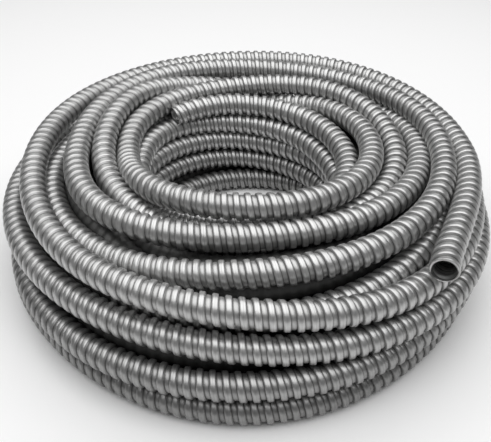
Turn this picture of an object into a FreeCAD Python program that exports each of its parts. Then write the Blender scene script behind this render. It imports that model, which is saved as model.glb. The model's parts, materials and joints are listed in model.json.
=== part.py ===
"""A coil of flexible metal conduit: a ring of turns, with the conduit's two cut ends lying on top of it.

The origin is on the coil's axis, at the floor it lies on. +Z points up, and the sizes are in millimetres.
The ring is one turned solid whose edges and ends show the turns. Each free end is a hollow tube of
straight runs and tangent arcs, open at its cut, that sinks among the turns at its other end.
"""
import FreeCAD, Part
import math
import os

# Conduit: the wall is as deep as its ribs
conduit_outside_diameter = 27.2
conduit_wall = 3.15

# Ring: turns side by side in each layer, from the floor up, each layer with its own inner turn.
# A negative gap is how far the ribs of neighbouring turns reach between each other.
layer_first_radius = (122.0, 122.0, 120.0, 120.0, 143.0)
layer_turns = (6, 6, 6, 6, 4)
layer_turn_gap = (0.8, 0.4, 0.0, -0.8, -1.2)
layer_nesting = 0.4
seat_flat_width = 5.0
groove_web = 5.0

# Angle at which the turned ring closes, in degrees: on the side that neither free end reaches
ring_seam_angle = 180.0

# Free ends, lying on the ring: angles run anticlockwise as seen from above, from +X
seat_clearance = 0.3
outer_mouth_angle = -51.0
outer_end_run = 60.0
outer_end_lying_runs = 5
outer_mouth_flare = 7.0
inner_mouth_angle = 118.0
inner_mouth_inset = 6.0
inner_end_run = 46.0
inner_end_lying_runs = 3

# Slope of each run that sinks into the ring, in degrees, its drift towards the ring's middle,
# and the share of a run that its bend takes up
sinking_slopes = (8.0, 17.0, 26.0)
sinking_drift = 5.0
bend_share = 0.45

turn_radius = conduit_outside_diameter / 2
conduit_bore_diameter = conduit_outside_diameter - 2 * conduit_wall
up = FreeCAD.Vector(0, 0, 1)

# The lowest turns are pressed flat where they lie on the floor
bottom_height = math.sqrt(turn_radius**2 - (seat_flat_width / 2)**2)


def layer_height(layer):
    """Height of the centres of one layer's turns."""
    return bottom_height + layer * (conduit_outside_diameter - layer_nesting)


def turn_centre(layer, turn):
    """Centre of one turn in the ring's section, in the XZ plane."""
    radius = layer_first_radius[layer] + turn * (conduit_outside_diameter + layer_turn_gap[layer])
    return FreeCAD.Vector(radius, 0, layer_height(layer))


def section_centres():
    """Centres of the turns that show on the ring's section: out along the floor, up, in and down."""
    layers = len(layer_turns)
    bottom = [turn_centre(0, turn) for turn in range(layer_turns[0])]
    outside = [turn_centre(layer, layer_turns[layer] - 1) for layer in range(1, layers - 1)]
    shoulder = shoulder_centres()
    top = [turn_centre(layers - 1, turn) for turn in reversed(range(layer_turns[-1]))]
    inside = [turn_centre(layer, 0) for layer in reversed(range(1, layers - 1))]
    return bottom + outside + shoulder + top + inside


def shoulder_centres():
    """Turns of the layer below the top one that the top layer leaves open on the outside."""
    layer = len(layer_turns) - 2
    top_outermost = turn_centre(layer + 1, layer_turns[-1] - 1)
    turns = reversed(range(layer_turns[layer] - 1))
    centres = [turn_centre(layer, turn) for turn in turns]
    return [centre for centre in centres if centre.x > top_outermost.x + turn_radius]


def groove_points(first, second):
    """Where the groove between two neighbouring turns starts and ends on the section."""
    along = second - first
    distance = along.Length
    along.normalize()
    outward = along.cross(FreeCAD.Vector(0, -1, 0))
    half = min(math.sqrt(turn_radius**2 - groove_web**2), distance / 2)
    depth = math.sqrt(turn_radius**2 - half**2)
    return first + along * half + outward * depth, second - along * half + outward * depth, outward


def ring_section():
    """Face of the ring's section: an arc for each turn, with a narrow web at the foot of each groove."""
    centres = section_centres()
    count = len(centres)
    grooves = [groove_points(centres[i], centres[(i + 1) % count]) for i in range(count)]
    edges = []
    for i, centre in enumerate(centres):
        before = grooves[i - 1]
        after = grooves[i]
        crown = before[2] + after[2]
        crown.normalize()
        edges.append(Part.Arc(before[1], centre + crown * turn_radius, after[0]).toShape())
        if after[0].distanceToPoint(after[1]) > 1e-6:
            edges.append(Part.LineSegment(after[0], after[1]).toShape())
    return Part.Face(Part.Wire(edges))


def make_ring():
    """Turn the section about the coil's axis and press its lowest turns flat."""
    ring = ring_section().revolve(FreeCAD.Vector(), up, 360)
    reach = 2 * max(turn_centre(layer, turns).x for layer, turns in enumerate(layer_turns))
    below_floor = Part.makeBox(2 * reach, 2 * reach, reach, FreeCAD.Vector(-reach, -reach, -reach))
    ring = ring.cut(below_floor).Solids[0]
    ring.rotate(FreeCAD.Vector(), up, ring_seam_angle)
    return ring


def route_point(angle, radius, height):
    """Point of a route, from an angle about the axis in radians."""
    return FreeCAD.Vector(radius * math.cos(angle), radius * math.sin(angle), height)


def sinking_points(angle, step, radius, height, run_length, drift, lying_runs):
    """Points of the runs that carry a free end down among the ring's turns."""
    points = []
    for run, slope in enumerate(sinking_slopes, lying_runs + 1):
        height -= run_length * math.tan(math.radians(slope))
        radius += drift
        points.append(route_point(angle + run * step, radius, height))
    return points


def outer_end_route():
    """Route of the outer end, from its mouth over the ring's open shoulder and down into the turns."""
    layer = len(layer_turns) - 1
    seat = conduit_outside_diameter + seat_clearance
    radius = turn_centre(layer, layer_turns[layer] - 1).x + seat
    height = layer_height(layer - 1) + seat
    step = outer_end_run / radius
    angle = math.radians(outer_mouth_angle)
    corner_radius = radius / math.cos(step / 2)
    points = [route_point(angle, corner_radius + 2 * outer_mouth_flare, height)]
    points.append(route_point(angle + step, corner_radius + outer_mouth_flare / 2, height))
    for run in range(2, outer_end_lying_runs + 1):
        points.append(route_point(angle + run * step, corner_radius, height))
    return points + sinking_points(angle, step, corner_radius, height, outer_end_run, -sinking_drift,
                                   outer_end_lying_runs)


def inner_end_route():
    """Route of the inner end, from its mouth round the top of the eye and down into the turns."""
    layer = len(layer_turns) - 1
    seat = conduit_outside_diameter + seat_clearance
    radius = turn_centre(layer, 0).x - seat
    inset = layer_first_radius[layer - 1] - radius
    height = layer_height(layer - 1) + math.sqrt(seat**2 - inset**2)
    step = -inner_end_run / radius
    angle = math.radians(inner_mouth_angle)
    points = [route_point(angle, radius - inner_mouth_inset, height)]
    points.append(route_point(angle + step, radius - inner_mouth_inset / 4, height))
    for run in range(2, inner_end_lying_runs + 1):
        points.append(route_point(angle + run * step, radius, height))
    return points + sinking_points(angle, step, radius, height, inner_end_run, sinking_drift,
                                   inner_end_lying_runs)


def bend(before, corner, after):
    """Tangent arc that rounds one corner of a route, as its start, middle, end and radius."""
    back = before - corner
    onward = after - corner
    tangent_length = bend_share * min(back.Length, onward.Length)
    half_turn = (math.pi - back.getAngle(onward)) / 2
    radius = tangent_length / math.tan(half_turn)
    back.normalize()
    onward.normalize()
    inward = back + onward
    inward.normalize()
    centre = corner + inward * (radius / math.cos(half_turn))
    return (corner + back * tangent_length, centre - inward * radius,
            corner + onward * tangent_length, radius)


def route_path(name, points):
    """Wire of straight runs joined by tangent arcs through a route's points."""
    edges = []
    start = points[0]
    radii = []
    for before, corner, after in zip(points, points[1:], points[2:]):
        first, middle, last, radius = bend(before, corner, after)
        edges.append(Part.LineSegment(start, first).toShape())
        edges.append(Part.Arc(first, middle, last).toShape())
        radii.append(radius)
        start = last
    edges.append(Part.LineSegment(start, points[-1]).toShape())
    print(name, "bend radii in mm:", [round(radius) for radius in radii])
    return Part.Wire(edges)


def tube_along(path, diameter):
    """Solid of a round section swept along a path."""
    start = path.Edges[0]
    direction = start.tangentAt(start.FirstParameter)
    profile = Part.Wire(Part.makeCircle(diameter / 2, path.Vertexes[0].Point, direction))
    solid = path.makePipeShell([profile], True, True)
    section_area = math.pi * diameter**2 / 4
    print("  swept volume over section times length:", round(solid.Volume / (section_area * path.Length), 4))
    return solid


def make_free_end(name, points, ring):
    """One hollow end of the conduit, cut off where it meets the ring."""
    path = route_path(name, points)
    wall = tube_along(path, conduit_outside_diameter).cut(tube_along(path, conduit_bore_diameter))
    left = wall.cut(ring)
    return max(left.Solids, key=lambda solid: solid.Volume)


def describe_mouth(name, points):
    """Print where a mouth is, which way it opens and how long its straight stretch is."""
    outward = points[0] - points[1]
    straight = outward.Length - bend_share * min(outward.Length, points[1].distanceToPoint(points[2]))
    outward.normalize()
    print(name, "mouth", [round(value, 3) for value in points[0]],
          "axis", [round(value, 5) for value in outward], "straight", round(straight, 3))


def save(name, shape):
    """Write one node and print what it is."""
    box = shape.BoundBox
    print(name, shape.ShapeType, len(shape.Solids), "valid", shape.isValid(), "volume", round(shape.Volume),
          "box", [round(v, 2) for v in (box.XMin, box.YMin, box.ZMin, box.XMax, box.YMax, box.ZMax)])
    shape.exportStep(os.path.join("parts", name + ".step"))


def main():
    os.makedirs("parts", exist_ok=True)
    ring = make_ring()
    outer_route = outer_end_route()
    inner_route = inner_end_route()
    describe_mouth("outer end", outer_route)
    describe_mouth("inner end", inner_route)
    save("conduit_coil", ring)
    save("outer_end", make_free_end("outer end", outer_route, ring))
    save("inner_end", make_free_end("inner end", inner_route, ring))


main()
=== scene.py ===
# %% [markdown]
# A coil of flexible metal conduit
#
# The object is one long length of interlocked steel conduit, wound into a coil that lies on the floor.
# A strip of galvanised steel is folded into ribs and hooked round itself, so the tube bends but
# doesn't stretch. The packed model gives the coil's size and the places of its two open ends.
# This script winds the real length of conduit, turn by turn, and gives it ribs and a steel finish.

# %% Load the packed model
import bpy
import json
import math
import numpy as np
from mathutils import Matrix, Vector


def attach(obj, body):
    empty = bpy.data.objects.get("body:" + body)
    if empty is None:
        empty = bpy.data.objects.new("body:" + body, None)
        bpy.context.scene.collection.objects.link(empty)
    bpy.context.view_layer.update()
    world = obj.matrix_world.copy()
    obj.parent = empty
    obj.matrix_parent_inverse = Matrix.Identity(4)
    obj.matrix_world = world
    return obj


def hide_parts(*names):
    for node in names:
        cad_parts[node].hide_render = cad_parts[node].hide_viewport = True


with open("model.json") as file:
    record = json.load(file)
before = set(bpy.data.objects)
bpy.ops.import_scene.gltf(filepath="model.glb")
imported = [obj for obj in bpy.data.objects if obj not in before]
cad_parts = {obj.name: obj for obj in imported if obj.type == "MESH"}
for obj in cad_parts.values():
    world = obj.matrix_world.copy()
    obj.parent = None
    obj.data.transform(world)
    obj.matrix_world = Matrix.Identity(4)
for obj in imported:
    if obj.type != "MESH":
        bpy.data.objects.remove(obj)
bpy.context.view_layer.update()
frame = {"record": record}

# %% [markdown]
# Sizes
#
# On the real object every size follows from the conduit's trade size: its diameter, its wall, which is
# as deep as the ribs, and the pitch of the ribs. They could all be typed in as numbers. The bore is read
# from the packed record instead, so that the scene and the solids keep the same conduit, and the
# winding plan below is written in conduit diameters.

# %% Conduit sizes
mounts = {mount["name"]: mount for mount in frame["record"]["mounts"]}
bore_radius = mounts["outer_end_bore"]["dims"]["r_mm"] / 1000
conduit_wall = 0.00315
conduit_diameter = 2 * (bore_radius + conduit_wall)
conduit_radius = conduit_diameter / 2
rib_pitch = 0.0112
print("in m: conduit diameter", conduit_diameter, "bore radius", bore_radius, "rib pitch", rib_pitch)

# %% [markdown]
# Camera
#
# The photograph looks down on the coil at about 36 degrees from a little over three quarters of a metre.
# The camera could be placed by eye, but then the turns wouldn't land where the photograph has them. Its
# place, its angles and its lens follow from the ellipses that the turns make in the picture, and from
# how much larger the front of the coil looks than its back.

# %% Camera
image_width = 491
focal_pixels = 620.0
film_width = 36.0
camera_place = Vector((-0.00027, -0.60901, 0.47056))
camera_pitch = math.radians(36.47)
camera_yaw = math.radians(0.63)
camera_roll = math.radians(0.50)

camera_data = bpy.data.cameras.new("camera")
camera_data.sensor_fit = "HORIZONTAL"
camera_data.sensor_width = film_width
camera_data.lens = focal_pixels / image_width * film_width
camera_data.clip_start = 0.01
camera = bpy.data.objects.new("camera", camera_data)
bpy.context.scene.collection.objects.link(camera)
forward = Vector((math.sin(camera_yaw) * math.cos(camera_pitch),
                  math.cos(camera_yaw) * math.cos(camera_pitch),
                  -math.sin(camera_pitch)))
level_right = forward.cross(Vector((0, 0, 1))).normalized()
level_up = level_right.cross(forward)
right = level_right * math.cos(camera_roll) + level_up * math.sin(camera_roll)
upward = level_up * math.cos(camera_roll) - level_right * math.sin(camera_roll)
turned = Matrix((right, upward, -forward)).transposed().to_4x4()
camera.matrix_world = Matrix.Translation(camera_place) @ turned
bpy.context.scene.camera = camera
print("lens in mm", round(camera_data.lens, 2))

# %% [markdown]
# The winding
#
# A worker winds such a coil from one end: turns lie beside and on each other, and where nothing ties
# them they wander and cross a little. A plain helix would be the simplest line, but it would show none
# of those crossings. So a plan lists where the middle of the conduit passes, as an angle in degrees
# about the coil's axis, a distance from the axis and a height above the floor, both in conduit
# diameters. The angle only grows, from the outer cut end on the front right to the inner cut end at the
# back. Each passage also says how firmly it keeps its place when the turns settle.

# %% Start the plan
seen = 1.0
seen_in_eye = 0.9
half_seen = 0.2
unseen = 0.06
plan = []


def passage(turn, stations, hold=seen):
    """Add stations (angle, distance, height) of one turn; hold is how firmly they stay put."""
    for angle, distance, height in stations:
        plan.append((turn * 360 + angle, distance, height, hold))


print("firmness: seen", seen, "seen in the eye", seen_in_eye, "half seen", half_seen, "unseen", unseen)

# %% [markdown]
# The outside wall
#
# The outside of the coil is a column of four turns. The outer cut end lies on top of it at the front
# right, and the conduit goes down from there. Four level rings would look much the same from afar, but
# no turn would lead to the next. So one line goes down through all four, and dips and swells where the
# photograph shows it.

# %% Outermost column, going down: the turns of the coil's outside wall
passage(0, [(-50, 10.00, 4.46), (-47, 9.72, 4.44), (-43, 9.48, 4.42), (-39, 9.32, 4.42), (-34, 9.17, 4.42),
            (-27, 9.08, 4.43), (0, 9.11, 4.44), (45, 9.22, 4.68), (90, 9.03, 4.62), (135, 8.75, 4.47),
            (180, 8.29, 4.40), (225, 8.49, 4.05), (270, 8.97, 3.94), (292, 9.27, 3.62), (315, 9.40, 3.32)])
passage(1, [(0, 9.40, 3.42), (90, 9.25, 3.10), (150, 9.57, 2.80), (180, 9.37, 2.76), (225, 9.03, 2.76),
            (270, 9.22, 2.61), (315, 9.83, 2.41), (345, 9.79, 2.48)])
passage(2, [(90, 9.30, 2.10), (180, 9.04, 1.51), (225, 9.45, 1.44), (270, 9.83, 1.52), (315, 9.71, 1.48),
            (345, 9.70, 1.50)])
passage(3, [(90, 9.25, 1.05), (190, 9.35, 0.50), (225, 9.28, 0.50), (270, 9.92, 0.50), (315, 9.52, 0.50),
            (345, 9.50, 0.50)])
print("stations down to the floor", len(plan))

# %% [markdown]
# Behind the wall, and the outer turns on top
#
# From the floor the conduit climbs again behind the outside wall, comes out at the back and goes round
# the top of the coil. The climb could be left out, because hardly any of it shows, but the top turns
# need something to rest on. It gets few stations, and they give way to the turns that show.

# %% Fifth column, going up inside the coil and out on top of it
passage(4, [(90, 8.45, 0.55), (180, 8.25, 0.55), (270, 8.75, 0.55), (360, 8.55, 1.00), (450, 8.35, 1.50),
            (540, 8.20, 1.55), (630, 8.58, 1.60), (720, 8.70, 2.15), (810, 8.35, 2.50), (900, 8.25, 2.55),
            (985, 8.30, 2.82)], hold=unseen)
passage(6, [(315, 8.37, 3.35), (340, 8.30, 3.48)])
passage(7, [(10, 8.25, 3.52), (90, 8.15, 3.50)], hold=half_seen)
passage(7, [(165, 7.72, 3.50), (180, 7.70, 3.55), (225, 7.55, 3.57), (270, 7.50, 4.18), (315, 7.87, 4.37)])
passage(8, [(0, 8.25, 4.61), (45, 8.33, 4.61), (67, 8.28, 4.54), (90, 8.10, 4.59), (135, 7.41, 4.78),
            (180, 6.61, 4.58), (225, 6.63, 4.57), (270, 5.82, 4.36), (315, 6.31, 4.26)])
passage(9, [(0, 7.44, 4.17), (25, 7.95, 4.12)])
print("stations so far", len(plan))

# %% [markdown]
# The middle of the coil
#
# A real coil is full of conduit, and the photograph shows nothing of its middle. An empty middle would
# render nearly the same, but the gaps between the outer turns would open on nothing and the conduit
# would be far too short. Two columns, one down and one up, fill it by rule.

# %% Fourth column down and third column up, inside the coil
passage(9, [(90, 7.25, 3.50), (180, 6.55, 3.45), (270, 7.00, 3.30), (360, 7.35, 3.10), (450, 7.25, 2.50),
            (540, 7.10, 2.50), (630, 7.50, 2.45), (720, 7.40, 2.10), (810, 7.30, 1.50), (900, 7.15, 1.50),
            (990, 7.60, 1.50), (1080, 7.45, 1.05), (1170, 7.35, 0.55), (1260, 7.15, 0.55),
            (1350, 7.60, 0.55)], hold=unseen)
passage(13, [(0, 6.50, 0.55), (90, 6.25, 0.55), (180, 6.10, 0.55), (270, 6.55, 0.55), (360, 6.45, 1.30),
             (450, 6.25, 1.50), (540, 6.10, 1.50), (630, 6.50, 1.50), (720, 6.40, 2.20), (810, 6.30, 2.50),
             (900, 6.10, 2.50), (990, 6.45, 2.45), (1080, 6.40, 3.15)], hold=unseen)
print("stations so far", len(plan))

# %% [markdown]
# The loose turns round the top of the eye
#
# Nothing presses on the turns beside the eye, so they lie loosely, rise over each other and make the
# rounded rim that catches the most light. They could follow a rule like the turns below them, but they
# are what the eye meets first, so each has a station for every 20 degrees or so.

# %% The turns round the top of the eye
passage(16, [(90, 6.80, 4.00), (115, 6.61, 4.51), (135, 6.43, 4.85), (157, 6.03, 4.74), (180, 5.64, 4.43),
             (202, 5.45, 4.16), (225, 5.35, 3.94), (240, 5.27, 3.77), (280, 5.30, 3.50), (320, 5.68, 3.92),
             (337, 6.13, 3.98)])
passage(17, [(0, 6.42, 4.30), (22, 6.45, 4.67), (45, 6.33, 4.87), (67, 6.12, 4.77), (90, 5.90, 4.56),
             (112, 5.70, 4.46), (135, 5.47, 4.39), (157, 5.13, 4.22), (180, 4.62, 3.97), (202, 4.53, 4.36),
             (225, 4.63, 4.67), (247, 4.80, 4.92), (270, 4.84, 4.95), (292, 5.03, 4.94), (315, 5.10, 4.77),
             (337, 5.24, 4.63)])
passage(18, [(0, 5.39, 4.56), (22, 5.50, 4.53), (45, 5.55, 4.39), (55, 5.56, 4.25)])
print("stations so far", len(plan))

# %% [markdown]
# Down again behind the eye
#
# The turns that show inside the eye lean on another column, which carries the conduit back down to the
# floor. It is as hidden as the middle of the coil, and is made by rule in the same way.

# %% Second column down, inside the coil
passage(18, [(90, 5.60, 3.50), (180, 5.20, 3.30), (270, 6.05, 3.40), (360, 5.45, 3.10), (450, 5.40, 2.50),
             (540, 5.20, 2.50), (630, 5.55, 2.45), (720, 5.40, 2.10), (810, 5.30, 1.50), (900, 5.15, 1.50),
             (990, 5.60, 1.50), (1080, 5.45, 1.05), (1170, 5.30, 0.55), (1260, 5.15, 0.55),
             (1350, 5.60, 0.55)], hold=unseen)
print("stations so far", len(plan))

# %% [markdown]
# The wall of the eye
#
# Through the eye the photograph shows the back of its wall: four turns, each a little out of line with
# the next, and on top of them the inner cut end, which turns outward. A smooth cylinder of ribs would be
# too regular. The wall is one column that climbs from the floor, with its stations close together at the
# back, where it shows, and few at the front.

# %% Innermost column, going up: the wall of the eye, then the inner cut end
passage(22, [(0, 4.65, 0.50), (40, 4.56, 0.50), (67, 4.20, 0.50), (90, 3.94, 0.50), (115, 3.84, 0.50),
             (180, 4.10, 0.50), (270, 4.55, 0.55)], hold=seen_in_eye)
passage(23, [(0, 4.35, 1.35), (25, 4.23, 1.50), (67, 4.29, 1.50), (112, 4.45, 1.51), (150, 4.57, 1.50),
             (270, 4.60, 1.60)], hold=seen_in_eye)
passage(24, [(0, 4.35, 2.25), (20, 4.30, 2.45), (67, 4.29, 2.44), (90, 4.44, 2.50), (135, 4.74, 2.57),
             (160, 4.66, 2.46), (200, 4.60, 2.42), (270, 4.60, 2.65)], hold=seen_in_eye)
passage(25, [(0, 4.20, 3.15), (22, 4.03, 3.24), (45, 4.14, 3.30), (67, 4.25, 3.36), (90, 4.42, 3.40),
             (112, 4.70, 3.37), (135, 4.94, 3.30), (157, 4.64, 3.36), (200, 4.40, 3.36), (270, 4.50, 3.75)],
        hold=seen_in_eye)
passage(26, [(0, 4.42, 3.98), (22, 4.36, 4.08), (45, 4.40, 4.12), (67, 4.47, 4.18), (90, 4.52, 4.25),
             (110, 4.55, 4.25), (120, 4.61, 4.20), (125, 4.69, 4.14), (130, 4.82, 4.06)])
first_angle = plan[0][0]
last_angle = plan[-1][0]
print("stations", len(plan), "turns", round((last_angle - first_angle) / 360, 2))

# %% [markdown]
# A smooth line through the plan
#
# A stiff conduit has no corners. Straight runs between the stations would kink at each of them, and a
# curve with free handles would need two more values for each. The natural cubic curve goes through
# every station with an even bend, and needs nothing but the stations.

# %% Join the plan by a smooth curve
steps_per_turn = 144


def smooth_through(places, values, at):
    """Values of the natural cubic curve through a list of values, at other places."""
    places = np.asarray(places, float)
    values = np.asarray(values, float)
    gap = np.diff(places)
    slope = np.diff(values) / gap
    count = len(places)
    system = np.eye(count)
    wanted = np.zeros(count)
    for i in range(1, count - 1):
        system[i, i - 1:i + 2] = gap[i - 1], 2 * (gap[i - 1] + gap[i]), gap[i]
        wanted[i] = 6 * (slope[i] - slope[i - 1])
    bend = np.linalg.solve(system, wanted)
    index = np.clip(np.searchsorted(places, at) - 1, 0, count - 2)
    t = at - places[index]
    h = gap[index]
    first = slope[index] - h * (2 * bend[index] + bend[index + 1]) / 6
    return values[index] + t * (first + t * (bend[index] / 2 + t * (bend[index + 1] - bend[index]) / (6 * h)))


first_step = math.ceil(first_angle / 360 * steps_per_turn)
last_step = math.floor(last_angle / 360 * steps_per_turn)
step_numbers = np.arange(first_step, last_step + 1)
angles = step_numbers * 360 / steps_per_turn
station_angles, station_distances, station_heights, station_holds = np.array(plan).T
planned = np.stack([smooth_through(station_angles, station_distances, angles),
                    smooth_through(station_angles, station_heights, angles)], axis=1)
hold = np.interp(angles, station_angles, station_holds)
print("points on the way", len(angles))

# %% [markdown]
# Settling
#
# Real turns can't pass through each other. The plan alone can't promise that, and a physics run would
# be slow and would throw the visible turns out of place. So the turns settle by a simple rule: in each
# direction round the coil, turns that are closer than a diameter push each other apart, the floor
# pushes up, and each point is drawn back a little to its plan and to the line of its neighbours. Ribs
# of neighbouring turns reach between each other, so turns may be slightly closer than a diameter.

# %% Find the turns that are neighbours
row_of = (step_numbers - first_step + first_step % steps_per_turn) // steps_per_turn
column_of = step_numbers % steps_per_turn
row_count = int(row_of.max()) + 1
far_apart = 99.0
hair = 1e-6


def neighbours(points):
    """Offsets and distances between all turns that pass each direction round the coil."""
    grid = np.full((row_count, steps_per_turn, 2), np.nan)
    grid[row_of, column_of] = points
    apart = grid[:, None] - grid[None, :]
    distance = np.sqrt((apart**2).sum(axis=-1))
    return apart, np.where(np.isnan(distance) | (distance < hair), far_apart, distance)


print("turns that pass each direction, at most", row_count)

# %% Let the turns settle against each other
contact = 0.975
lowest_centre = 0.5
settling_rounds = 600
push_step = 0.8
least_pull = 0.004
firm_pull = 0.2
straightening = 0.35
give = 1.0 - 0.93 * hold
give_grid = np.zeros((row_count, steps_per_turn))
give_grid[row_of, column_of] = give
share_of_push = give_grid[:, None] / np.maximum(give_grid[:, None] + give_grid[None, :], hair)
settled = planned.copy()
for settling in range(settling_rounds):
    apart, distance = neighbours(settled)
    overlap = np.where(distance < contact, contact - distance, 0.0)
    push = np.nan_to_num(apart / distance[..., None] * (overlap * share_of_push)[..., None]).sum(axis=1)
    settled += push_step * push[row_of, column_of]
    settled += (planned - settled) * (least_pull + firm_pull * hold**2)[:, None]
    settled[:, 1] = np.maximum(settled[:, 1], lowest_centre)
    middle = (settled[:-2] + settled[2:]) / 2
    settled[1:-1] += (middle - settled[1:-1]) * (straightening * give[1:-1, None])
closest = neighbours(settled)[1].min(axis=(0, 1))
print("closest turns in diameters: at the worst direction", round(float(closest.min()), 3),
      "and on average", round(float(closest.mean()), 3))
print("moved from the plan in diameters: mean", np.round(np.abs(settled - planned).mean(axis=0), 3),
      "most", np.round(np.abs(settled - planned).max(axis=0), 3))

# %% [markdown]
# The conduit's line
#
# The middle of the real conduit is one unbroken line, 30 metres long. It could be a polyline with
# thousands of points, but a NURBS curve stays smooth with 24 control points to a turn, and a few more
# by the two cut ends, which bend more sharply. Such a curve cuts inside its corners, so each control
# point lies a little outside the settled line.

# %% Choose the control points
controls_per_turn = 24
every = steps_per_turn // controls_per_turn
near_ends = [0, 1, 2, 4, 6, 9, 12, 16]
past_ends = 20
last_index = len(angles) - 1
chosen = near_ends + list(range(past_ends, last_index - past_ends + 1, every))
chosen += [last_index - step for step in reversed(near_ends)]
control = []
for place, index in enumerate(chosen):
    before = angles[chosen[max(place - 1, 0)]]
    after = angles[chosen[min(place + 1, len(chosen) - 1)]]
    is_end = index in (0, last_index)
    spread = 0.0 if is_end else math.radians(after - before) / 4
    angle = math.radians(angles[index])
    reach = settled[index, 0] * conduit_diameter / math.cos(spread)
    control.append((reach * math.cos(angle), reach * math.sin(angle), settled[index, 1] * conduit_diameter))
print("control points", len(control))

# %% One NURBS curve for the whole conduit
line_data = bpy.data.curves.new("conduit_line", "CURVE")
line_data.dimensions = "3D"
line_data.resolution_u = 8
spline = line_data.splines.new("NURBS")
spline.points.add(len(control) - 1)
for point, place in zip(spline.points, control):
    point.co = (*place, 1.0)
spline.order_u = 3
spline.use_endpoint_u = True
line_object = bpy.data.objects.new("conduit_line", line_data)
bpy.context.scene.collection.objects.link(line_object)
bpy.context.view_layer.update()
line_mesh = bpy.data.meshes.new_from_object(line_object)
bpy.data.objects.remove(line_object)
line = np.array([vertex.co[:] for vertex in line_mesh.vertices])
pieces_of_line = np.sqrt((np.diff(line, axis=0)**2).sum(axis=1))
run = np.concatenate([[0.0], np.cumsum(pieces_of_line)])
conduit_length = float(run[-1])
print("points read", len(line), "length in m", round(conduit_length, 3))

# %% [markdown]
# Node trees as Python
#
# The ribs and the steel are both made with nodes. Clicking each node together would be slow to change
# and hard to read. So one helper adds any node, and one small class lets sums on sockets be written as
# Python expressions, where each operator adds its Math node.

# %% A helper that adds a node
def node(tree, kind, settings=None, **inputs):
    """Add a node, set its properties, then set or link its sockets by name, or by _number."""
    made = tree.nodes.new(kind)
    for name, value in (settings or {}).items():
        setattr(made, name, value)
    for name, value in inputs.items():
        socket = made.inputs[int(name[1:])] if name[0] == "_" else made.inputs[name.replace("_", " ")]
        if isinstance(value, bpy.types.NodeSocket):
            tree.links.new(value, socket)
        else:
            socket.default_value = value
    return made


def vector_maths(tree, operation, *parts, **named):
    """Result of a Vector Math node."""
    numbered = {"_%d" % place: part for place, part in enumerate(parts)}
    return node(tree, "ShaderNodeVectorMath", {"operation": operation}, **numbered, **named).outputs[0]


# %% A class for sums on sockets
class Value:
    """A socket that can be added, subtracted, multiplied and divided."""

    def __init__(self, tree, socket):
        self.tree = tree
        self.socket = socket

    def joined(self, kind, *others):
        parts = {"_%d" % place: other.socket if isinstance(other, Value) else float(other)
                 for place, other in enumerate(others)}
        return Value(self.tree, node(self.tree, "ShaderNodeMath", {"operation": kind}, **parts).outputs[0])

    def __add__(self, other):
        return self.joined("ADD", self, other)

    def __radd__(self, other):
        return self.joined("ADD", other, self)

    def __sub__(self, other):
        return self.joined("SUBTRACT", self, other)

    def __rsub__(self, other):
        return self.joined("SUBTRACT", other, self)

    def __mul__(self, other):
        return self.joined("MULTIPLY", self, other)

    def __rmul__(self, other):
        return self.joined("MULTIPLY", other, self)

    def __truediv__(self, other):
        return self.joined("DIVIDE", self, other)

    def __rtruediv__(self, other):
        return self.joined("DIVIDE", other, self)

    def floor(self):
        return self.joined("FLOOR", self)

    def fraction(self):
        return self.joined("FRACT", self)

    def sine(self):
        return self.joined("SINE", self)

    def cosine(self):
        return self.joined("COSINE", self)

    def at_least(self, other):
        return self.joined("MAXIMUM", self, other)

    def at_most(self, other):
        return self.joined("MINIMUM", self, other)


def constant(tree, number):
    """A number as a value of a node tree."""
    made = node(tree, "ShaderNodeMath", {"operation": "ADD"}, _0=float(number), _1=0.0)
    return Value(tree, made.outputs[0])


print("what a value can do:", [name for name in vars(Value) if not name.startswith("_")])

# %% [markdown]
# The shape of one rib
#
# Interlocked conduit is a strip wound in a helix: from outside it shows a wide raised band, then a
# narrower and lower band, with a deep seam on each side. A displacement map could suggest that, but the
# scallops on the outline of each turn need real shape. So each profile lists (share of the pitch, share
# of the radius) for one rib, from one deep seam to the next. The stretches inside the coil have a
# plainer profile, and the bore has its own, where the strip's folds stand in a little.

# %% Rib profiles
rib_profile = [(0.0, 0.79), (0.03, 0.93), (0.08, 0.98), (0.20, 1.0), (0.32, 0.993), (0.44, 1.0),
               (0.53, 0.965), (0.58, 0.80), (0.63, 0.835), (0.77, 0.85), (0.93, 0.835), (1.0, 0.79)]
plain_profile = [(0.0, 0.90), (0.25, 0.99), (0.5, 0.99), (0.75, 0.90), (1.0, 0.90)]
bore_profile = [(0.0, 1.02), (0.12, 0.98), (0.5, 0.98), (0.6, 1.02), (0.8, 1.0), (1.0, 1.02)]
print("rows per rib: visible", len(rib_profile) - 1, "and hidden", len(plain_profile) - 1)


def profile_curve(tree, share, stops):
    """A Float Curve node through the stops of a profile, with straight runs between them."""
    made = node(tree, "ShaderNodeFloatCurve", Value=share.socket)
    curve = made.mapping.curves[0]
    curve.points[0].location = stops[0]
    curve.points[1].location = stops[-1]
    for stop in stops[1:-1]:
        curve.points.new(*stop)
    for point in curve.points:
        point.handle_type = "VECTOR"
    made.mapping.update()
    return Value(tree, made.outputs[0])


# %% [markdown]
# The ribbed tube
#
# The same rib repeats thousands of times along one line, which suits Geometry Nodes. A round section
# swept along the curve would need a row of points wherever the helix crosses it. Instead a flat grid is
# rolled round the line, and its rows follow the helix of the ribs, so that eleven uneven rows draw each
# rib crisply. Its map, in ribs along and turns around, is kept for the steel.

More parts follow.
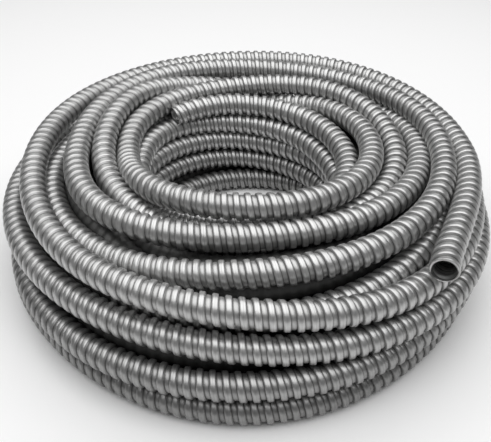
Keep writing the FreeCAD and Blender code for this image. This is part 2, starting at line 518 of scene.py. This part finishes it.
# %% Roll a grid round the line
def rolled_grid(tree, curve, along, around, radius, rows, sides, flip):
    """Roll a grid of rows and sides round the curve."""
    grid = node(tree, "GeometryNodeMeshGrid", Vertices_X=rows.socket, Vertices_Y=sides.socket)
    sample = node(tree, "GeometryNodeSampleCurve", {"mode": "LENGTH", "use_all_curves": True},
                  Curves=curve, Length=along.socket)
    tangent = sample.outputs["Tangent"]
    side = vector_maths(tree, "NORMALIZE", vector_maths(tree, "CROSS_PRODUCT", tangent, (0.0, 0.0, 1.0)))
    above = vector_maths(tree, "NORMALIZE", vector_maths(tree, "CROSS_PRODUCT", side, tangent))
    turn = around * (2 * math.pi)
    across = vector_maths(tree, "SCALE", side, Scale=(radius * turn.cosine()).socket)
    rise = vector_maths(tree, "SCALE", above, Scale=(radius * turn.sine()).socket)
    place = vector_maths(tree, "ADD", sample.outputs["Position"], across)
    place = vector_maths(tree, "ADD", place, rise)
    moved = node(tree, "GeometryNodeSetPosition", Geometry=grid.outputs["Mesh"], Position=place)
    label = node(tree, "ShaderNodeCombineXYZ", X=(along / rib_pitch).socket, Y=around.socket)
    label = node(tree, "GeometryNodeFieldOnDomain", {"data_type": "FLOAT_VECTOR", "domain": "POINT"},
                 _0=label.outputs[0])
    stored = node(tree, "GeometryNodeStoreNamedAttribute", {"data_type": "FLOAT2", "domain": "CORNER"},
                  Geometry=moved.outputs[0], Name="UVMap", Value=label.outputs[0])
    if flip:
        stored = node(tree, "GeometryNodeFlipFaces", Mesh=stored.outputs[0])
    return stored.outputs[0]


# %% Where a point is on its grid and on its rib
rounding_guard = 0.00001


def grid_place(tree, side_count):
    """Row of each point of a grid, its share of a turn round the tube, and the points in a row."""
    index = Value(tree, node(tree, "GeometryNodeInputIndex").outputs[0])
    sides = constant(tree, side_count + 1)
    row = ((index + 0.5) / sides).floor()
    around = (index - row * sides) / side_count
    return row, around, sides


def rib_share(along, around, pitch):
    """Where a point is on its rib, from 0 to 1, on the helix that the ribs follow."""
    return (along / pitch + around + rounding_guard).fraction()


print("guard against rounding at a seam, in ribs:", rounding_guard)

# %% [markdown]
# The outside and the ends
#
# Real conduit is cut straight across, through whatever rib is there. So the outside starts one rib
# early, ends one rib late and is held between its two ends, which cuts the helix off square. At an open
# end another grid turns in over the rim, runs down the bore past the inner folds and closes in the
# dark, where nobody sees that the bore stops. Between two stretches a plain cap is enough, because the
# next stretch goes on with the same rib.

# %% The outside of a stretch
def outside_part(tree, curve, place, start, end, radius, pitch, profile):
    """Grid of the outside, with the rows of each rib spaced by its profile."""
    row, around, sides = place
    rows_per_rib = len(profile) - 1
    rib = ((row + 0.5) / rows_per_rib).floor()
    phases = [(step / rows_per_rib, stop[0]) for step, stop in enumerate(profile)]
    phase = profile_curve(tree, row / rows_per_rib - rib, phases)
    along = ((start / pitch).floor() - 1 + rib + phase - around) * pitch
    along = along.at_least(start).at_most(end)
    outside = profile_curve(tree, rib_share(along, around, pitch), profile) * radius
    rows = (((end - start) / pitch + 3) * rows_per_rib).floor()
    return rolled_grid(tree, curve, along, around, outside, rows, sides, False)


# %% One end of a stretch
bore_rows = 64
cap_rows = 2

# a mouth is wider down to its first inner fold: widths are shares of the bore's radius
lip_width = 1.07
inner_width = 0.96
lip_depth = 0.0065
lip_slope = 0.003


def end_part(tree, curve, place, at, inward, rim, bore, depth, pitch, is_open):
    """Grid of one end: a bore that closes in the dark where it is open, and a plain cap where not."""
    row, around, sides = place
    if not is_open:
        return rolled_grid(tree, curve, at + row * 0.0, around, rim * (1.0 - row), constant(tree, cap_rows),
                           sides, inward > 0)
    reach = ((row - 1) / (bore_rows - 3)).at_least(0.0).at_most(1.0)
    inside = at + inward * (reach * depth)
    lip = ((lip_depth - reach * depth) / lip_slope).at_least(0.0).at_most(1.0)
    wall = profile_curve(tree, rib_share(inside, around, pitch), bore_profile) * bore
    wall = wall * (inner_width + (lip_width - inner_width) * lip)
    section = rim + (wall - rim) * row.at_most(1.0)
    section = section * (1.0 - (row - (bore_rows - 2)).at_least(0.0))
    return rolled_grid(tree, curve, inside, around, section, constant(tree, bore_rows), sides, inward > 0)


print("how far the first inner fold is from the mouth, in mm:", lip_depth * 1000)

# %% The whole tree, with its named inputs
def tube_tree(name, side_count, profile, open_at_start, open_at_end, material):
    """Node tree that rolls a ribbed tube round a line, between two distances along it."""
    tree = bpy.data.node_groups.new(name, "GeometryNodeTree")
    tree.is_modifier = True
    tree.interface.new_socket("Line", in_out="INPUT", socket_type="NodeSocketGeometry")
    numbers = {"Start": 0.0, "End": 1.0, "Radius": conduit_radius, "Rib pitch": rib_pitch,
               "Bore radius": bore_radius, "Bore depth": 0.08}
    for label, default in numbers.items():
        made = tree.interface.new_socket(label, in_out="INPUT", socket_type="NodeSocketFloat")
        made.default_value = default
    tree.interface.new_socket("Tube", in_out="OUTPUT", socket_type="NodeSocketGeometry")
    entry = node(tree, "NodeGroupInput")
    start, end, radius, pitch, bore, depth = [Value(tree, entry.outputs[label]) for label in numbers]
    curve = node(tree, "GeometryNodeMeshToCurve", Mesh=entry.outputs["Line"]).outputs[0]
    place = grid_place(tree, side_count)
    parts = [outside_part(tree, curve, place, start, end, radius, pitch, profile)]
    for at, is_open, inward in ((start, open_at_start, 1.0), (end, open_at_end, -1.0)):
        rim = profile_curve(tree, rib_share(at, place[1], pitch), profile) * radius
        parts.append(end_part(tree, curve, place, at, inward, rim, bore, depth, pitch, is_open))
    joined = tree.nodes.new("GeometryNodeJoinGeometry")
    for part in reversed(parts):
        tree.links.new(part, joined.inputs[0])
    merged = node(tree, "GeometryNodeMergeByDistance", Geometry=joined.outputs[0], Distance=0.00001)
    smooth = node(tree, "GeometryNodeSetShadeSmooth", Geometry=merged.outputs[0], Shade_Smooth=True)
    real = node(tree, "GeometryNodeRealizeInstances", Geometry=smooth.outputs[0])
    finished = node(tree, "GeometryNodeSetMaterial", Geometry=real.outputs[0], Material=material)
    exit_node = node(tree, "NodeGroupOutput")
    tree.links.new(finished.outputs[0], exit_node.inputs[0])
    return tree


# %% [markdown]
# The steel
#
# Galvanised strip is a soft grey metal, and the rolls that fold it leave its crowns smoother. The dark
# seams could be left to the light alone, but a real seam is deeper than this geometry. So painted shade
# for each point of the rib, read from the map that the tube stored, goes from nearly black in the seams
# to full steel on the crowns, with lighter painted shade on the lower band and in a fine groove.

# %% Galvanised steel, with painted shade in the seams of each rib
steel_colour = (0.59, 0.59, 0.585, 1.0)
# painted shade: a near-black colour that stands in for the shadow in the seams
painted_seam_shade_colour = (0.018, 0.017, 0.016, 1.0)
seam_shade = [(0.0, 0.12), (0.03, 0.75), (0.08, 1.0), (0.26, 1.0), (0.30, 0.85), (0.34, 1.0), (0.50, 1.0),
              (0.555, 0.75), (0.585, 0.12), (0.62, 0.65), (0.68, 0.84), (0.90, 0.84), (0.96, 0.65),
              (1.0, 0.12)]
zinc_metallic = 0.88
steel = bpy.data.materials.new("galvanised_steel")
steel.use_nodes = True
steel_tree = steel.node_tree
shader = steel_tree.nodes["Principled BSDF"]
shader.inputs["Metallic"].default_value = zinc_metallic
rib_map = node(steel_tree, "ShaderNodeUVMap", {"uv_map": "UVMap"})
rib_place = node(steel_tree, "ShaderNodeSeparateXYZ", Vector=rib_map.outputs["UV"])
along_ribs = Value(steel_tree, rib_place.outputs["X"])
around_tube = Value(steel_tree, rib_place.outputs["Y"])
# painted shade on each rib, read from the tube's map
shade = profile_curve(steel_tree, (along_ribs + around_tube).fraction(), seam_shade)
print("shades from seam to seam:", [stop[1] for stop in seam_shade])

# %% [markdown]
# Zinc, grain and the lines of the rolls
#
# Zinc varies from place to place, its surface is grainy close up, and the rolls leave fine lines along
# the strip. One noise could stand for all three, but they have very different sizes. So two noises in
# Object coordinates give the clouds and the grain, and a third, on the tube's map, is drawn out along
# the ribs. That map joins under the tube, where the join hardly shows.

# %% Three noises
def noise(place, scale, detail):
    """Noise about one half, of a given scale, over a vector."""
    made = node(steel_tree, "ShaderNodeTexNoise", Vector=place, Scale=scale, Detail=detail)
    return Value(steel_tree, made.outputs[0])


cloud_scale = 14.0
grain_scale = 900.0
lines_across = 7.0
lines_along = 1.5
object_place = node(steel_tree, "ShaderNodeTexCoord").outputs["Object"]
cloudy = noise(object_place, cloud_scale, 2.0)
grainy = noise(object_place, grain_scale, 3.0)
from_below = (around_tube + 0.25).fraction()
roll_place = node(steel_tree, "ShaderNodeCombineXYZ", X=((along_ribs + from_below) * lines_across).socket,
                  Y=(from_below * lines_along).socket)
roll_lines = noise(roll_place.outputs[0], 1.0, 3.0)
print("noise scales, clouds and grain:", cloud_scale, grain_scale)

# %% [markdown]
# Darker near the floor: painted shade
#
# The lower turns of the coil are darker in the photograph: they face away from the light and lie in the
# shade of the turns above. More contrast in the light would darken them too, but would also burn out the
# top. So painted shade, which fades with the height above the floor in conduit diameters, darkens them
# gently.

# %% Put the steel together
even_part = 0.45
cloud_part = 0.36
grain_part = 0.16
line_part = 0.4
# painted shade: the steel darkens towards the floor, fully below this height and fading over this span
painted_shade_full_below = 0.9
painted_shade_fade_span = 2.1
painted_shade_darkest = 0.52
seam_roughness = 0.52
crown_polish = 0.2
grain_roughness = 0.12
height = Value(steel_tree, node(steel_tree, "ShaderNodeSeparateXYZ", Vector=object_place).outputs["Z"])
# painted shade from the height above the floor
painted_shade_lift = ((height / conduit_diameter - painted_shade_full_below) / painted_shade_fade_span).at_least(0.0).at_most(1.0)
spots = even_part + cloud_part * cloudy + grain_part * grainy + line_part * roll_lines
brightness = shade * spots * (painted_shade_darkest + (1.0 - painted_shade_darkest) * painted_shade_lift)
roughness = seam_roughness - crown_polish * shade + grain_roughness * grainy
colour = node(steel_tree, "ShaderNodeMix", {"data_type": "RGBA"}, _0=brightness.at_most(1.0).socket,
              _6=painted_seam_shade_colour, _7=steel_colour)
steel_tree.links.new(colour.outputs[2], shader.inputs["Base Color"])
steel_tree.links.new(roughness.socket, shader.inputs["Roughness"])
scratches = node(steel_tree, "ShaderNodeBump", Strength=0.35, Distance=0.0003,
                 Height=(grainy * 0.3 + roll_lines).socket)
steel_tree.links.new(scratches.outputs[0], shader.inputs["Normal"])
print("dull up to, in diameters above the floor:", painted_shade_full_below + painted_shade_fade_span)

# %% [markdown]
# Steel inside the coil
#
# In the photograph the gaps between the turns are nearly black. Their turns are the same steel, but
# hardly any light reaches them past the ribs of the turns in front. The stretches inside the coil have
# plainer ribs, which hold back less light, so a darker and simpler steel makes up for it.

# %% Steel darkened with painted shade, for what lies inside the coil
inside_steel_painted_shade = bpy.data.materials.new("galvanised_steel_inside_painted_shade")
inside_steel_painted_shade.use_nodes = True
inside_shader = inside_steel_painted_shade.node_tree.nodes["Principled BSDF"]
# painted shade: a dark base colour for turns that little light reaches
inside_shader.inputs["Base Color"].default_value = (0.12, 0.12, 0.118, 1.0)
inside_shader.inputs["Metallic"].default_value = zinc_metallic
inside_shader.inputs["Roughness"].default_value = 0.55
print("materials", steel.name, "and", inside_steel_painted_shade.name)

# %% [markdown]
# The stretches
#
# The conduit is one piece, but a mesh of it all would be too large, so it is cut into eight stretches.
# They could be cut evenly, but then every joint would have to be perfect. So each cut lies where little
# or nothing of it shows, and each stretch takes up the rib where the last one left it. Those that show
# have every rib; those inside the coil keep a plain ribbed shape. Each has its own length of the line.

# %% Helpers that cut the line and wind a stretch
hair_length = 1e-4


def distance_at(turn, angle):
    """Distance along the conduit at a turn and an angle of the plan."""
    places = np.degrees(np.unwrap(np.arctan2(line[:, 1], line[:, 0])))
    places += 360 * round((first_angle - places[0]) / 360)
    return float(np.interp(turn * 360 + angle, places, run))


def wind(name, start, end, tree):
    """One stretch of the conduit as a plain mesh, with the points of its path."""
    piece = bpy.data.objects.new(name, line_mesh.copy())
    bpy.context.scene.collection.objects.link(piece)
    modifier = piece.modifiers.new("ribs", "NODES")
    modifier.node_group = tree
    names = {item.name: item.identifier for item in tree.interface.items_tree if item.in_out == "INPUT"}
    modifier[names["Start"]] = start
    modifier[names["End"]] = end
    depsgraph = bpy.context.evaluated_depsgraph_get()
    mesh = bpy.data.meshes.new_from_object(piece.evaluated_get(depsgraph))
    piece.modifiers.remove(modifier)
    piece.data = mesh
    mesh.name = name
    between = (run > start + hair_length) & (run < end - hair_length)
    first, last = [tuple(float(np.interp(at, run, line[:, axis])) for axis in range(3))
                   for at in (start, end)]
    triangles = sum(len(face.vertices) - 2 for face in mesh.polygons)
    print(name, "length in m", round(end - start, 3), "triangles", triangles)
    return piece, [first] + [tuple(point) for point in line[between]] + [last]


# %% Four kinds of tube, and where the line is cut
sides_seen = 24
sides_hidden = 12
whole = tube_tree("ribbed conduit", sides_seen, rib_profile, False, False, steel)
open_first = tube_tree("ribbed conduit, open at its start", sides_seen, rib_profile, True, False, steel)
open_last = tube_tree("ribbed conduit, open at its end", sides_seen, rib_profile, False, True, steel)
hidden = tube_tree("conduit inside the coil", sides_hidden, plain_profile, False, False, inside_steel_painted_shade)
cuts = [("conduit_outer_wall_upper", (2, 90), open_first),
        ("conduit_outer_wall_lower", (4, 120), whole),
        ("conduit_inside_outer", (6, 240), hidden),
        ("conduit_top_outer", (9, 130), whole),
        ("conduit_inside_middle", (16, 60), hidden),
        ("conduit_top_inner", (18, 150), whole),
        ("conduit_inside_inner", (21, 330), hidden),
        ("conduit_eye_wall", None, open_last)]
print("stretches", len(cuts))

start = 0.0
for name, until, tree in cuts:
    end = distance_at(*until) if until else conduit_length
    piece, path = wind(name, start, end, tree)
    is_first = tree is open_first
    is_last = tree is open_last
    if is_first:
        path.reverse()
    stood_for = ["outer_end"] * is_first + ["inner_end"] * is_last + ["conduit_coil"]
    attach(piece, "root")
    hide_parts(*stood_for)
    end - start
    start = end
print("wound in m", round(start, 3))

# %% [markdown]
# The floor
#
# The photograph is a cut-out on white. A white picture behind the object would copy that, but then the
# coil would float. A pale floor keeps its shadow and its seat, and is nearly as white.

# %% Floor
scene = bpy.context.scene
scene.view_settings.view_transform = "Standard"
floor_reach = 6.0
corners = [(-floor_reach, -floor_reach, 0), (floor_reach, -floor_reach, 0),
           (floor_reach, floor_reach, 0), (-floor_reach, floor_reach, 0)]
floor_mesh = bpy.data.meshes.new("floor")
floor_mesh.from_pydata(corners, [], [(0, 1, 2, 3)])
floor = bpy.data.objects.new("floor", floor_mesh)
scene.collection.objects.link(floor)
white = bpy.data.materials.new("floor_white")
white.use_nodes = True
white_shader = white.node_tree.nodes["Principled BSDF"]
white_shader.inputs["Base Color"].default_value = (0.95, 0.95, 0.95, 1)
white_shader.inputs["Roughness"].default_value = 0.9
floor_mesh.materials.append(white)
print("floor in m", 2 * floor_reach)

# %% [markdown]
# The light
#
# The crowns of the turns are bright on top, their flanks are mid grey and the gaps are dark: one large
# softbox hangs over the coil. Several small lamps would put several highlights on each rib, and a
# bright surround would fill the gaps. So one area light does the work, with a dim even surround.

# %% Softbox and surround
world = bpy.data.worlds.new("studio")
world.use_nodes = True
surround = world.node_tree.nodes["Background"]
surround.inputs["Color"].default_value = (1, 1, 1, 1)
surround.inputs["Strength"].default_value = 0.16
scene.world = world
lamp_data = bpy.data.lights.new("softbox", "AREA")
lamp_data.energy = 52
lamp_data.size = 3.0
lamp = bpy.data.objects.new("softbox", lamp_data)
lamp.location = (0.0, 0.1, 1.7)
scene.collection.objects.link(lamp)
print("softbox in W", lamp_data.energy, "and its side in m", lamp_data.size)

# %% [markdown]
